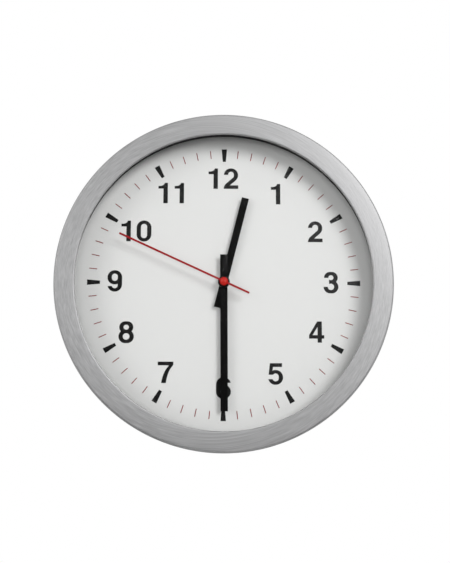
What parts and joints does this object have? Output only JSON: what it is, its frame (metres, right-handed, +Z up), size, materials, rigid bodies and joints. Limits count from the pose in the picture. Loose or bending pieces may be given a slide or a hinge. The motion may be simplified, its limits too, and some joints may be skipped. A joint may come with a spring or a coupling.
{
  "type": "round wall clock",
  "caption": "Round wall clock with a wide spun metal rim, white numbered dial, straight hands, flat glass and a geared battery movement.",
  "frame": {"origin": "on the hand axis, halfway between the wall and the front of the rim", "axes": "+X to the viewer's right, towards three o'clock; +Y into the wall; +Z up to twelve o'clock"},
  "size_m": [0.3, 0.045, 0.3],
  "materials": {
    "brushed_rim": "brushed around the rim",
    "screw_steel": "zinc plated",
    "clear_glass": "clear",
    "soft_rubber": "matte",
    "black_plastic": "fine grain",
    "dial_white": "satin",
    "print_black": "screen print",
    "print_red": "screen print",
    "fitting_brass": "turned",
    "hand_black": "satin",
    "boss_black": "gloss",
    "hand_red": "satin",
    "cap_red": "gloss",
    "case_plastic": "moulded",
    "wheel_plastic": "moulded",
    "magnet_grey": "sintered",
    "iron_grey": "stamped",
    "copper_wire": "enamelled wire",
    "board_green": "coated",
    "chip_black": "cast resin",
    "can_steel": "drawn can",
    "contact_metal": "plated strip",
    "battery_wrap": "printed sleeve without text"
  },
  "bodies": {
    "clock_case": {"rim": "brushed_rim", "rim_screws": "screw_steel", "lens": "clear_glass", "lens_gasket": "soft_rubber", "back_shell": "black_plastic", "inner_ring": "black_plastic", "dial": "dial_white", "hour_marks": "print_black", "minute_marks": "print_red", "numerals": "print_black", "hanger_plate": "screw_steel", "hanger_screws": "screw_steel", "rubber_washer": "soft_rubber", "fixing_washer": "dial_white", "hex_nut": "dial_white", "movement_case": "case_plastic", "movement_cover": "case_plastic", "threaded_bush": "fitting_brass", "mid_plate": "wheel_plastic", "plate_screws": "screw_steel", "stator": "iron_grey", "coil_core": "iron_grey", "coil_bobbin": "wheel_plastic", "coil_winding": "copper_wire", "coil_wires": "copper_wire", "circuit_board": "board_green", "chip_cover": "chip_black", "quartz_crystal": "can_steel", "contact_positive": "contact_metal", "contact_negative": "contact_metal", "battery_can": "can_steel", "battery_sleeve": "battery_wrap"},
    "minute_train": {"minute_arbor": "fitting_brass", "centre_wheel": "wheel_plastic", "minute_hand": "hand_black", "minute_boss": "boss_black"},
    "hour_train": {"hour_wheel": "wheel_plastic", "hour_hand": "hand_black", "hour_collet": "fitting_brass"},
    "second_train": {"second_arbor": "screw_steel", "second_wheel": "wheel_plastic", "second_hand": "hand_red", "second_collet": "fitting_brass", "second_cap": "cap_red"},
    "third_train": {"third_wheel": "wheel_plastic"},
    "intermediate_train": {"intermediate_wheel": "wheel_plastic"},
    "rotor": {"rotor_pinion": "wheel_plastic", "rotor_magnet": "magnet_grey"},
    "motion_train": {"motion_wheel": "wheel_plastic"},
    "setting_train": {"setting_arbor": "wheel_plastic", "setting_knob": "black_plastic"}
  },
  "joints": [
    {"name": "minute_spin", "type": "hinge", "parent": "clock_case", "child": "minute_train", "pos_m": [0, 0, 0], "axis": [0, 1, 0], "continuous": true},
    {"name": "hour_spin", "type": "hinge", "parent": "clock_case", "child": "hour_train", "pos_m": [0, 0, 0], "axis": [0, 1, 0], "continuous": true},
    {"name": "second_spin", "type": "hinge", "parent": "clock_case", "child": "second_train", "pos_m": [0, 0, 0], "axis": [0, 1, 0], "continuous": true},
    {"name": "third_spin", "type": "hinge", "parent": "clock_case", "child": "third_train", "pos_m": [-0.00956, 0, 0.00256], "axis": [0, 1, 0], "continuous": true},
    {"name": "intermediate_spin", "type": "hinge", "parent": "clock_case", "child": "intermediate_train", "pos_m": [0.00873, 0, 0.00504], "axis": [0, 1, 0], "continuous": true},
    {"name": "rotor_spin", "type": "hinge", "parent": "clock_case", "child": "rotor", "pos_m": [0.01463, 0, 0.00999], "axis": [0, 1, 0], "continuous": true},
    {"name": "motion_spin", "type": "hinge", "parent": "clock_case", "child": "motion_train", "pos_m": [-0.00846, 0, -0.00308], "axis": [0, 1, 0], "continuous": true},
    {"name": "setting_spin", "type": "hinge", "parent": "clock_case", "child": "setting_train", "pos_m": [-0.01691, 0, -0.00616], "axis": [0, 1, 0], "continuous": true}
  ],
  "couplings": [
    {"joint": "hour_spin", "follows": "minute_spin", "ratio": 0.083333},
    {"joint": "second_spin", "follows": "minute_spin", "ratio": 60},
    {"joint": "third_spin", "follows": "minute_spin", "ratio": -8},
    {"joint": "intermediate_spin", "follows": "minute_spin", "ratio": -300},
    {"joint": "rotor_spin", "follows": "minute_spin", "ratio": 1800},
    {"joint": "motion_spin", "follows": "minute_spin", "ratio": -0.33333},
    {"joint": "setting_spin", "follows": "minute_spin", "ratio": 1}
  ]
}
